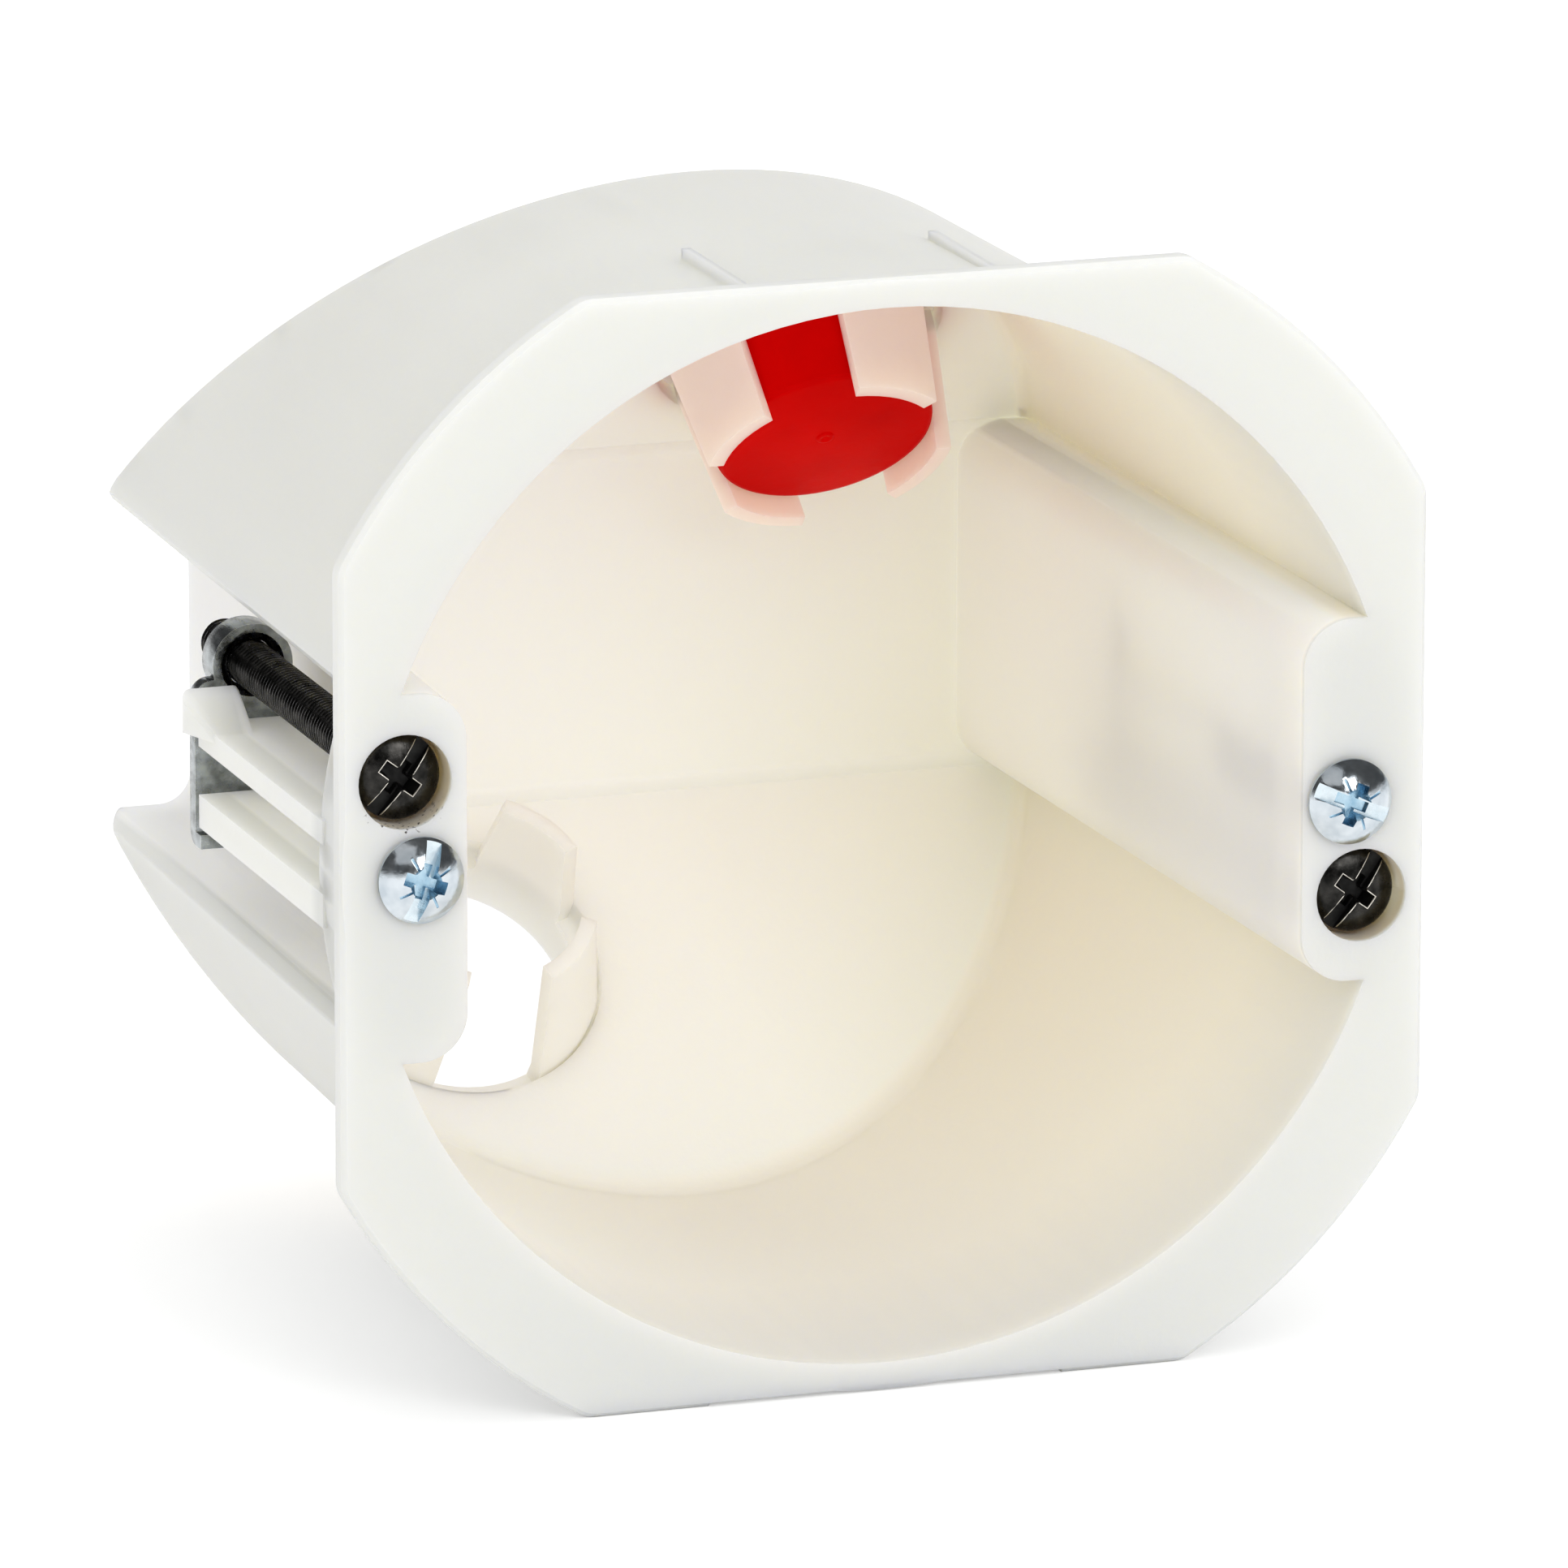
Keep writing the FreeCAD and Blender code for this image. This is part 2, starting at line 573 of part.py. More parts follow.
def make_claw(name, place, turn):
    body = new_body(name)
    corners = [(-size.claw_outer_side, -size.claw_arm), (size.claw_inner_side, -size.claw_arm),
               (size.claw_inner_side, -size.shoulder_drop), (-size.claw_outer_side, -size.shoulder_drop)]
    strip = pad(body, name + "_strip", outline(body, name + "_strip_outline", "XZ_Plane", corners),
                size.claw_thick, reverse=True)
    work_edges(body, "Fillet", name + "_shoulder", strip,
               lambda edge: at_height(edge, "Z", -size.shoulder_drop) and
               at_height(edge, "X", -size.claw_outer_side), Radius=size.shoulder_radius)
    pad(body, name + "_boss", ring(body, name + "_boss_outline", size.boss_dia / 2), size.boss_length,
        reverse=True)
    tooth_top = size.tooth_thick - size.claw_arm
    tooth = pad(body, name + "_tooth",
                outline(body, name + "_tooth_outline", "XZ_Plane",
                        [(-size.claw_outer_side, -size.claw_arm), (size.claw_inner_side, -size.claw_arm),
                         (size.claw_inner_side, tooth_top), (-size.claw_outer_side, tooth_top)]),
                size.tooth_reach)
    work_edges(body, "Fillet", name + "_bend", tooth,
               lambda edge: at_height(edge, "Z", -size.claw_arm) and at_height(edge, "Y", size.claw_thick),
               Radius=size.bend_radius)
    thread = size.claw_screw_dia / 2 + size.screw_play
    hole = body.newObject("PartDesign::Groove", name + "_hole")
    hole.Profile = outline(body, name + "_hole_outline", "XY_Plane",
                           [(0, 0), (thread + size.boss_countersink, 0), (thread, size.boss_countersink),
                            (thread, size.boss_length), (0, size.boss_length)])
    hole.ReferenceAxis = (hole.Profile[0], ["V_Axis"])
    hole.Angle = 360
    return put(body, place, turn)


RECESS_TURNS = {"claw_left": 52.0, "claw_right": 53.0, "device_left": 72.0, "device_right": -23.0}
parts = [box_body, blanking_plug]
for place, side in (("left", -1), ("right", 1)):
    parts.append(make_screw("claw_screw_" + place,
                            (side * size.claw_screw_offset, size.claw_head_depth, -side * size.claw_screw_height),
                            -RECESS_TURNS["claw_" + place], size.claw_head_height, flat_face,
                            size.claw_screw_dia / 2, size.claw_screw_length))
    parts.append(make_screw("device_screw_" + place,
                            (side * size.device_spacing / 2, -size.device_head_height, 0),
                            -RECESS_TURNS["device_" + place], size.device_head_height, domed_face,
                            size.device_screw_dia / 2, size.device_screw_length))
    parts.append(make_claw("claw_" + place,
                           (side * size.claw_screw_offset, size.claw_rest_depth, -side * size.claw_screw_height),
                           Rotation() if side < 0 else HALF_TURN))

# Check every object, then write one file for each piece

doc.recompute()
for item in doc.Objects:
    if "Invalid" in item.State or "Error" in item.State:
        raise RuntimeError("%s could not be built" % item.Name)
os.makedirs("parts", exist_ok=True)
for item in parts:
    if item.Shape.isNull() or not item.Shape.isValid():
        raise RuntimeError("%s has no valid shape" % item.Label)
for item in parts:
    item.Shape.exportStep("parts/%s.step" % item.Label)
    box = item.Shape.BoundBox
    print("%-20s %d solid %8.1f mm3  X %.2f %.2f  Y %.2f %.2f  Z %.2f %.2f" % (
        item.Label, len(item.Shape.Solids), item.Shape.Volume,
        box.XMin, box.XMax, box.YMin, box.YMax, box.ZMin, box.ZMax))
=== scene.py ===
import math
import bmesh
import bpy
from mathutils import Matrix, Vector


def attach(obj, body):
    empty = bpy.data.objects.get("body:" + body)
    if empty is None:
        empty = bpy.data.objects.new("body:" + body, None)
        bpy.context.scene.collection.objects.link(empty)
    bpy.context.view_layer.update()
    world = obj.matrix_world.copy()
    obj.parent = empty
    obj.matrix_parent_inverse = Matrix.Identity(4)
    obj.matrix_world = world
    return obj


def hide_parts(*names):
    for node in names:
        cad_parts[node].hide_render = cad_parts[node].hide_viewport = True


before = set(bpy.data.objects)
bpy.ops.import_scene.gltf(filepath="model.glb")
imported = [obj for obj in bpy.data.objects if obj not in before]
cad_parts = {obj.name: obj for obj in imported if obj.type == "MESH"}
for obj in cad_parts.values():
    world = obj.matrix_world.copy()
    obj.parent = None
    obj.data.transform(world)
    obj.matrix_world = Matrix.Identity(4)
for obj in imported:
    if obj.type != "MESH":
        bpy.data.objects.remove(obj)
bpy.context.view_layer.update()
MM = 0.001

# Main sizes of the box, in millimetres, as the solids have them: the plug's point lies on its axis,
# and its closed end is that reach in front of it

BARREL_INSIDE = 33.2
CHANNEL_WALL_MIDDLE = 27.45
CHANNEL_SLOPE = 0.0271
CHANNEL_HALF = 10.9
CHANNEL_CORNER = 2.4
FLANGE_BOTTOM = -35.0
RIB_END = 29.85
PLUG_POINT = (11.5, 50.52, 19.7)
PLUG_REACH = 7.5
CLAW_SCREW = (30.9, 0.85, 6.1)
DEVICE_SCREW = (30.0, -1.5, 0.0)
CLAW_SCREW_LENGTH = 35.6
DEVICE_SCREW_LENGTH = 15.0
FLAT_HEAD_HEIGHT = 1.6
DOMED_HEAD_HEIGHT = 1.5
HEAD_RADIUS = 2.7
SLOT_HALF_WIDTH = 0.48
THREAD_RADIUS = 1.5
THREAD_PITCH = 0.5
THREAD_DEPTH = 0.24
CREST_FLATTENING = 1.25
TIP_CHAMFER = 0.5

# Cutters of the heads: they start in front of the head, and a slot's cutter is longer than any head is wide

CUTTER_START = -0.5
SLOT_HALF_LENGTH = 4.0
RECESS_TAPER = 0.62
HEAD_STEPS = 72

# How far the heads are turned, in degrees clockwise as the photograph shows them

HEAD_TURNS = {"claw_left": 52.0, "claw_right": 53.0, "device_left": 72.0, "device_right": -23.0}

# Widths of the rounded edges, in millimetres

HORN_ROUNDING = 0.55
NOSE_ROUNDING = 0.35
RIB_ROUNDING = 0.22
FRONT_ROUNDING = 0.2
PLUG_ROUNDING = 0.35
SHEET_ROUNDING = 0.1
SLOT_WEAR = 0.06
RECESS_WEAR = 0.035

# Where the moulding's edges are rounded: limits across, deep and up, in millimetres

FAR = 100.0
ANYWHERE = (-FAR, FAR)
NOSE_LIMITS = ((32.2, 34.2), (21.5, 30.5), (2.5, 5.6))
NOSE_FOOT_LIMITS = ((32.2, FAR), (21.5, RIB_END), (2.5, 5.6))
NOSE_SHORTENING = 0.45
NOSE_SHORTEST_EDGE = 0.9
RIB_LIMITS = ((27.0, 36.5), (5.5, 30.5), (-1.0, 5.6))
HORN_LIMITS = ((31.0, FAR), ANYWHERE, (10.0, 11.3))
HORN_SHORTEST_EDGE = 20.0
FRONT_LIMITS = (ANYWHERE, (-FAR, 0.02), ANYWHERE)

# Where the moulding's effects fade, in millimetres: each is absent at the first place and full at the second

BORE_EDGE = (BARREL_INSIDE + 0.1, BARREL_INSIDE - 0.3)
BARREL_SHELL = (31.2, 32.2)
BEHIND_RIM = (0.1, 0.6)
TOWARDS_BACK = (-6.0, 34.0)
LOWER_RIGHT = (-12.0, 30.0)
CHANNEL_START = (1.0, 4.0)
WELL_EDGE = (3.5, 3.1)
WELL_MOUTH = (0.05, 0.5)
WELL_FLOOR = (5.4, 4.9)
CRUMBS_FROM = (2.6, 2.9)
CRUMBS_TO = (3.4, 3.1)
CRUMBS_BELOW = (-1.2, -2.4)
CRUMBS_SHALLOW = (3.0, 1.5)
NEAR_PLUG = (12.0, 8.8)
GRIP_START = (0.2, -0.6)
GRIP_REACH = (-24.0, -10.0)
RIBS_ACROSS = (28.3, 28.9)
RIBS_UP = (6.0, 4.8)
RIBS_START = (5.0, 6.5)

# Shares and finishes

DRIFT_SHARE = 0.03
PLUG_MOTTLING = 0.7
WELL_SHADE_SHARE = 0.8
CRUMB_SCALE = 3200.0
CRUMB_NOISE = (0.62, 0.68)
GRIP_GLOW = 0.50
COLLAR_GLOW = 0.10
WHITE_ROUGHNESS = (0.38, 0.48)
RED_ROUGHNESS = (0.30, 0.42)
PLASTIC_BUMP = 0.08
METAL_BUMP = 0.06
GRAIN_DETAIL = 4.0

# Colours

OUTSIDE_WHITE = (0.745, 0.752, 0.730)
DRIFT_WHITE = (0.70, 0.68, 0.60)
# inside the bore: painted light, a brighter cream than the outside, and painted shade, warmer towards the
# back and darker at the lower right
INSIDE_LIT_CREAM = (0.995, 0.975, 0.925)
INSIDE_BACK_SHADE = (0.985, 0.930, 0.830)
INSIDE_SHADE = (0.86, 0.825, 0.75)
# painted light: the side channels are painted lighter than the outside white
CHANNEL_LIT_WHITE = (0.93, 0.93, 0.90)
PLUG_GLOW = (0.98, 0.60, 0.53)
UNLIT = (0.0, 0.0, 0.0)
LIGHT_THROUGH_WALL = (0.055, 0.050, 0.036)
LIGHT_THROUGH_GRIP = (0.17, 0.12, 0.105)
LIGHT_THROUGH_RIB = (0.10, 0.096, 0.082)
PLUG_RED = (0.80, 0.0, 0.0)
PLUG_RED_DEEP = (0.60, 0.0, 0.0)
# painted shade of the sunk screw wells
WELL_SHADE_TAN = (0.60, 0.53, 0.41)
GRIME = (0.06, 0.05, 0.045)
FLOOR_PALE = (0.86, 0.86, 0.86, 1.0)
WHITE = (1.0, 1.0, 1.0, 1.0)

# Stage, light and camera, in metres; each lamp has a name, a place, a width and its watts,
# and the sensor is in millimetres

FLOOR_REACH = 3.0
FLOOR_GLOW = 0.30
SKY_LEVEL = 0.86
ROOM_LEVEL = 0.08
ROOM_EDGE = (0.02, 0.18)
LAMP_AIM = (0.0, 0.02, 0.0)
LAMPS = (("key softbox", (-0.35, -0.65, 0.75), 0.7, 0.8),
         ("front softbox", (0.20, -0.90, 0.46), 0.42, 2.2),
         ("top softbox", (0.1, 0.2, 0.9), 0.6, 0.9))
CAMERA_PLACE = (-0.30205, -0.85848, 0.23567)
CAMERA_RIGHT = (0.94576, -0.32488, 0.00155)
CAMERA_AHEAD = (0.31515, 0.91627, -0.24722)
SENSOR_WIDTH = 36.0
IMAGE_WIDTH = 1932
FOCAL_PIXELS = 19000


# Node helpers

class Wires:
    """Adds nodes to one tree and joins them."""

    def __init__(self, tree):
        self.tree = tree

    def add(self, kind, **settings):
        node = self.tree.nodes.new("ShaderNode" + kind)
        for name, value in settings.items():
            setattr(node, name, value)
        return node

    def feed(self, socket, source):
        """Gives a socket a number, a colour, a vector or another node's output."""
        if isinstance(source, (int, float)):
            socket.default_value = source
        elif isinstance(source, tuple):
            opaque = len(source) == 3 and socket.type != "VECTOR"
            socket.default_value = source + (1.0,) if opaque else source
        else:
            self.tree.links.new(source, socket)

    def maths(self, operation, first, second=0.0, third=0.0):
        node = self.add("Math", operation=operation)
        for socket, source in zip(node.inputs, (first, second, third)):
            self.feed(socket, source)
        return node.outputs[0]

    def times(self, product, *others):
        for other in others:
            product = self.maths("MULTIPLY", product, other)
        return product

    def minus(self, first, second):
        return self.maths("SUBTRACT", first, second)

    def size(self, value):
        return self.maths("ABSOLUTE", value)

    def length(self, first, second):
        """The length of a vector from its two parts."""
        return self.maths("SQRT", self.maths("ADD", self.times(first, first), self.times(second, second)))

    def spread(self, value, low, high, to_low=0.0, to_high=1.0, smooth=False):
        node = self.add("MapRange", interpolation_type="SMOOTHSTEP" if smooth else "LINEAR")
        for socket, source in zip(node.inputs, (value, low, high, to_low, to_high)):
            self.feed(socket, source)
        return node.outputs[0]

    def fade(self, distance, places, smooth=False):
        """A mask that is 0 at the first and 1 at the second of two places in millimetres."""
        absent, full = places
        return self.spread(distance, absent * MM, full * MM, smooth=smooth)

    def blend(self, share, first, second):
        node = self.add("Mix", data_type="RGBA")
        for name, source in (("Factor_Float", share), ("A_Color", first), ("B_Color", second)):
            self.feed(next(socket for socket in node.inputs if socket.identifier == name), source)
        return next(socket for socket in node.outputs if socket.identifier == "Result_Color")

    def noise(self, place, scale, detail):
        node = self.add("TexNoise")
        self.feed(node.inputs["Vector"], place)
        self.feed(node.inputs["Scale"], scale)
        self.feed(node.inputs["Detail"], detail)
        return node.outputs["Fac"]

    def place(self):
        return self.add("TexCoord").outputs["Object"]

    def group(self, tree, **inputs):
        node = self.add("Group", node_tree=tree)
        for name, source in inputs.items():
            self.feed(node.inputs[name], source)
        return node.outputs


def new_group(name, inputs, outputs):
    """An effect that several materials share: its tree, its wires and both ends of it."""
    tree = bpy.data.node_groups.new(name, "ShaderNodeTree")
    for label, start in inputs:
        socket = tree.interface.new_socket(label, in_out="INPUT", socket_type="NodeSocketFloat")
        socket.default_value = start
    for label in outputs:
        tree.interface.new_socket(label, in_out="OUTPUT", socket_type="NodeSocketFloat")
    given = tree.nodes.new("NodeGroupInput")
    result = tree.nodes.new("NodeGroupOutput")
    return tree, Wires(tree), given.outputs, result.inputs


def make_moulded_skin():
    """Fine spark-eroded grain with a slow drift of tone, as a mould leaves on plastic."""
    inputs = [("Grain", 900.0), ("Drift", 60.0)]
    tree, wires, given, result = new_group("moulded skin", inputs, ["Tone", "Height"])
    place = wires.place()
    grain = wires.noise(place, given["Grain"], GRAIN_DETAIL)
    drift = wires.noise(place, given["Drift"], 2.0)
    wires.feed(result["Tone"], wires.spread(drift, 0.3, 0.7))
    wires.feed(result["Height"], grain)
    return tree


def make_metal_skin():
    """Drawn and tumbled metal: fine streaks, small dents and a soft change of gloss."""
    inputs = [("Streaks", 2500.0), ("Dents", 700.0)]
    tree, wires, given, result = new_group("metal skin", inputs, ["Streak", "Stain", "Height"])
    place = wires.place()
    stretched = wires.add("Mapping")
    wires.feed(stretched.inputs["Vector"], place)
    stretched.inputs["Scale"].default_value = (1.0, 0.25, 1.0)
    streaks = wires.noise(stretched.outputs[0], given["Streaks"], 3.0)
    dents = wires.noise(place, given["Dents"], 2.0)
    wires.feed(result["Streak"], streaks)
    wires.feed(result["Stain"], wires.spread(dents, 0.35, 0.7))
    wires.feed(result["Height"], wires.times(dents, streaks))
    return tree


MOULDED_SKIN = make_moulded_skin()
METAL_SKIN = make_metal_skin()


def new_material(name, roughness=0.5, metallic=0.0, **fixed):
    material = bpy.data.materials.new(name)
    material.use_nodes = True
    shader = material.node_tree.nodes["Principled BSDF"]
    shader.inputs["Roughness"].default_value = roughness
    shader.inputs["Metallic"].default_value = metallic
    for label, value in fixed.items():
        shader.inputs[label.replace("_", " ")].default_value = value
    return material, shader, Wires(material.node_tree)


def add_bump(wires, shader, height, strength, distance):
    """Bump of a given distance in millimetres."""
    bump = wires.add("Bump")
    bump.inputs["Strength"].default_value = strength
    bump.inputs["Distance"].default_value = distance * MM
    wires.feed(bump.inputs["Height"], height)
    wires.feed(shader.inputs["Normal"], bump.outputs[0])


# The white moulding's masks: across, deep and up are the place in the box's own frame, in metres

def well_distance(wires, across, up):
    """Distance from the nearer claw screw's axis, and height above it."""
    hand = wires.maths("SIGN", across)
    sideways = wires.minus(wires.times(across, hand), CLAW_SCREW[0] * MM)
    upwards = wires.maths("ADD", up, wires.times(hand, CLAW_SCREW[2] * MM))
    return wires.length(sideways, upwards), upwards


def well_painted_shade(wires, across, deep, up):
    """Painted shade: the sunk screw heads' wells are tinted tan, for the shadow in them and the light they
    swallow.
    """
    away, _ = well_distance(wires, across, up)
    sunk = wires.times(wires.fade(deep, WELL_MOUTH), wires.fade(deep, WELL_FLOOR))
    return wires.times(wires.fade(away, WELL_EDGE), sunk, WELL_SHADE_SHARE)


def well_crumbs(wires, place, across, deep, up):
    """Dark crumbs that turning the screw has left on the lower rim of the left well."""
    away, upwards = well_distance(wires, across, up)
    band = wires.times(wires.fade(away, CRUMBS_FROM), wires.fade(away, CRUMBS_TO))
    dotted = wires.spread(wires.noise(place, CRUMB_SCALE, 1.0), *CRUMB_NOISE)
    lower_rim = wires.times(band, wires.fade(upwards, CRUMBS_BELOW), wires.fade(deep, CRUMBS_SHALLOW))
    return wires.times(dotted, lower_rim, wires.maths("LESS_THAN", across, 0.0))


def channel_mask(wires, across, deep, up):
    """The two side channels, up to the middle of their rounded walls."""
    corner = wires.maths("MULTIPLY_ADD", deep, -CHANNEL_SLOPE, (CHANNEL_WALL_MIDDLE + CHANNEL_CORNER) * MM)
    inwards = wires.maths("MAXIMUM", wires.minus(corner, wires.size(across)), 0.0)
    upwards = wires.maths("MAXIMUM", wires.minus(wires.size(up), (CHANNEL_HALF - CHANNEL_CORNER) * MM), 0.0)
    return wires.maths("LESS_THAN", wires.length(inwards, upwards), CHANNEL_CORNER * MM)


def rib_mask(wires, across, deep, up):
    """The ribs in the channels, which let daylight through."""
    beside = wires.times(wires.fade(wires.size(across), RIBS_ACROSS), wires.fade(wires.size(up), RIBS_UP))
    return wires.times(beside, wires.fade(deep, RIBS_START))


def plug_masks(wires, across, deep, up):
    """Nearness to the plug, whose axis leans back and up by half a right angle, and the grips' part of it."""
    offset_across = wires.minus(across, PLUG_POINT[0] * MM)
    offset_deep = wires.minus(deep, PLUG_POINT[1] * MM)
    offset_up = wires.minus(up, PLUG_POINT[2] * MM)
    sideways = wires.times(wires.minus(offset_up, offset_deep), math.sqrt(0.5))
    along = wires.times(wires.maths("ADD", offset_up, offset_deep), math.sqrt(0.5))
    ring = wires.length(sideways, offset_across)
    near = wires.times(wires.fade(ring, NEAR_PLUG, smooth=True), wires.fade(along, GRIP_REACH))
    return near, wires.fade(along, GRIP_START)


def painted_inside_light(wires, radius, across, deep, up):
    """Painted light and shade inside the bore: a bright cream, lighter than the outside white, that deepens
    into a warmer painted shade towards the back and the lower right, and a darker painted shade on the
    barrel's own wall at the lower right.
    """
    right_and_down = wires.minus(across, wires.times(up, 0.5))
    lower_right = wires.fade(right_and_down, LOWER_RIGHT)
    depth = wires.fade(deep, TOWARDS_BACK, smooth=True)
    cream = wires.blend(wires.times(depth, lower_right), INSIDE_LIT_CREAM, INSIDE_BACK_SHADE)
    shell = wires.fade(radius, BARREL_SHELL)
    return wires.blend(wires.times(shell, lower_right), cream, INSIDE_SHADE)


# Materials

def make_white_moulding():
    """Satin white plastic with painted light: a brighter cream inside with painted shade towards the back,
    lighter channels, painted shade in the screw wells, and the red plug's painted pink glow through the grips
    around it.
    """
    material, shader, wires = new_material("white moulding", IOR=1.49, Specular_IOR_Level=0.35,
                                           Subsurface_Weight=1.0, Subsurface_Scale=0.003,
                                           Emission_Strength=1.0)
    shader.inputs["Subsurface Radius"].default_value = (1.0, 0.95, 0.75)
    # the glow is too faint to be sampled as a lamp, which would only slow the render
    material.cycles.emission_sampling = "NONE"
    skin = wires.group(MOULDED_SKIN, Grain=1400.0, Drift=55.0)
    place = wires.place()
    split = wires.add("SeparateXYZ")
    wires.feed(split.inputs[0], place)
    across, deep, up = split.outputs
    radius = wires.length(across, up)
    in_bore = wires.fade(radius, BORE_EDGE)
    channel = channel_mask(wires, across, deep, up)
    inside = wires.times(in_bore, wires.fade(deep, BEHIND_RIM), wires.minus(1.0, channel))
    in_channel = wires.times(channel, in_bore, wires.fade(deep, CHANNEL_START))
    near_plug, grip = plug_masks(wires, across, deep, up)

    # painted light: the side channels are painted lighter than the outside
    outside = wires.blend(in_channel, OUTSIDE_WHITE, CHANNEL_LIT_WHITE)
    tone = wires.blend(inside, outside, painted_inside_light(wires, radius, across, deep, up))
    tone = wires.blend(wires.times(skin["Tone"], DRIFT_SHARE), tone, DRIFT_WHITE)
    # painted glow: the grips and the collar around the red plug are tinted pink, as the plug's light shows
    # through them
    glow = wires.times(near_plug, wires.maths("MULTIPLY_ADD", grip, GRIP_GLOW, COLLAR_GLOW), in_bore)
    tone = wires.blend(glow, tone, PLUG_GLOW)
    # painted shade: the screw wells are tinted tan
    tone = wires.blend(well_painted_shade(wires, across, deep, up), tone, WELL_SHADE_TAN)
    tone = wires.blend(well_crumbs(wires, place, across, deep, up), tone, GRIME)
    wires.feed(shader.inputs["Base Color"], tone)

    # daylight that comes through the thin walls, the ribs and the grips around the red plug
    through = wires.blend(inside, UNLIT, LIGHT_THROUGH_WALL)
    through = wires.blend(rib_mask(wires, across, deep, up), through, LIGHT_THROUGH_RIB)
    through = wires.blend(wires.times(near_plug, grip, in_bore), through, LIGHT_THROUGH_GRIP)
    wires.feed(shader.inputs["Emission Color"], through)
    wires.feed(shader.inputs["Roughness"], wires.spread(skin["Tone"], 0.0, 1.0, *WHITE_ROUGHNESS))
    add_bump(wires, shader, skin["Height"], 0.25, PLASTIC_BUMP)
    return material


def make_red_moulding():
    """Even red plastic with hardly any shine."""
    material, shader, wires = new_material("red moulding", IOR=1.49, Specular_IOR_Level=0.02)
    skin = wires.group(MOULDED_SKIN, Grain=1600.0, Drift=120.0)
    mottling = wires.times(skin["Tone"], PLUG_MOTTLING)
    wires.feed(shader.inputs["Base Color"], wires.blend(mottling, PLUG_RED, PLUG_RED_DEEP))
    wires.feed(shader.inputs["Roughness"], wires.spread(skin["Tone"], 0.0, 1.0, *RED_ROUGHNESS))
    add_bump(wires, shader, skin["Height"], 0.3, PLASTIC_BUMP)
    return material


def make_metal(name, clean, stained, roughness, bump, streaks=2600.0, dents=900.0, metallic=1.0):
    """Metal whose colour goes from clean to stained and whose roughness follows its streaks."""
    material, shader, wires = new_material(name, metallic=metallic)
    skin = wires.group(METAL_SKIN, Streaks=streaks, Dents=dents)
    wires.feed(shader.inputs["Base Color"], wires.blend(skin["Stain"], clean, stained))
    wires.feed(shader.inputs["Roughness"], wires.spread(skin["Streak"], 0.3, 0.7, *roughness))
    add_bump(wires, shader, skin["Height"], bump, METAL_BUMP)
    return material


WHITE_MOULDING = make_white_moulding()
RED_MOULDING = make_red_moulding()
ZINC_PLATE = make_metal("zinc plate", (0.66, 0.71, 0.75), (0.50, 0.56, 0.61), (0.08, 0.22), 0.35)
# lit and shaded copies of the zinc: the recess walls get a darker, bluer painted shade and the slot's floor a
# paler painted highlight
ZINC_RECESS_SHADE = make_metal("zinc recess painted shade", (0.30, 0.48, 0.62), (0.50, 0.66, 0.76), (0.18, 0.34), 0.5)
ZINC_SLOT_HIGHLIGHT = make_metal("zinc slot painted highlight", (0.72, 0.80, 0.84), (0.60, 0.70, 0.76), (0.2, 0.4), 0.7)
BLACK_OXIDE = make_metal("black oxide", (0.014, 0.014, 0.013), (0.050, 0.048, 0.045), (0.12, 0.32), 0.4,
                         streaks=3000.0, dents=1100.0)
# painted shade: the black screw's recess is a near-black copy of its metal
BLACK_RECESS_SHADE = make_metal("black recess painted shade", (0.002, 0.002, 0.002), (0.012, 0.012, 0.011), (0.4, 0.6), 0.4,
                         streaks=2400.0, dents=1500.0, metallic=0.6)
WORN_EDGE = make_metal("worn steel edge", (0.95, 0.91, 0.82), (0.30, 0.28, 0.25), (0.25, 0.45), 0.6)
CLAW_ZINC = make_metal("claw zinc", (0.40, 0.43, 0.44), (0.17, 0.18, 0.18), (0.14, 0.32), 0.6)
# painted highlight: the claws' narrow rounded edges are a bright copy of the dark sheet
CLAW_EDGE_HIGHLIGHT = make_metal("claw edge painted highlight", (0.88, 0.89, 0.86), (0.45, 0.46, 0.46), (0.15, 0.35), 0.8)


# Mesh helpers

def new_piece(name, form, materials, place=Matrix.Identity(4)):
    """A mesh object in metres from a form drawn in millimetres."""
    form.transform(Matrix.Diagonal((MM, MM, MM, 1.0)) @ place)
    bmesh.ops.recalc_face_normals(form, faces=form.faces[:])
    mesh = bpy.data.meshes.new(name)
    form.to_mesh(mesh)
    form.free()
    for material in materials:
        mesh.materials.append(material)
    piece = bpy.data.objects.new(name, mesh)
    bpy.context.scene.collection.objects.link(piece)
    return piece


def lathe(profile, steps):
    """A closed form turned about Y from (radius, depth) points; the first and last lie on the axis."""
    form = bmesh.new()
    rings = []
    for radius, depth in profile:
        if radius == 0.0:
            rings.append([form.verts.new((0, depth, 0))])
            continue
        turns = [step * 2 * math.pi / steps for step in range(steps)]
        rings.append([form.verts.new((radius * math.cos(turn), depth, radius * math.sin(turn)))
                      for turn in turns])
    for low, high in zip(rings, rings[1:]):
        for step in range(steps):
            following = (step + 1) % steps
            corners = [low[step % len(low)], low[following % len(low)],
                       high[following % len(high)], high[step % len(high)]]
            corners = [corner for index, corner in enumerate(corners) if corner not in corners[:index]]
            form.faces.new(corners)
    return form


def prism(corners, front, back, shrink=1.0):
    """A block from corners in the X-Z plane; its back may be drawn in towards the middle."""
    form = bmesh.new()
    near = [form.verts.new((x, front, z)) for x, z in corners]
    far = [form.verts.new((x * shrink, back, z * shrink)) for x, z in corners]
    form.faces.new(near)
    form.faces.new(far[::-1])
    count = len(corners)
    for index in range(count):
        following = (index + 1) % count
        form.faces.new([near[following], near[index], far[index], far[following]])
    bmesh.ops.recalc_face_normals(form, faces=form.faces[:])
    return form


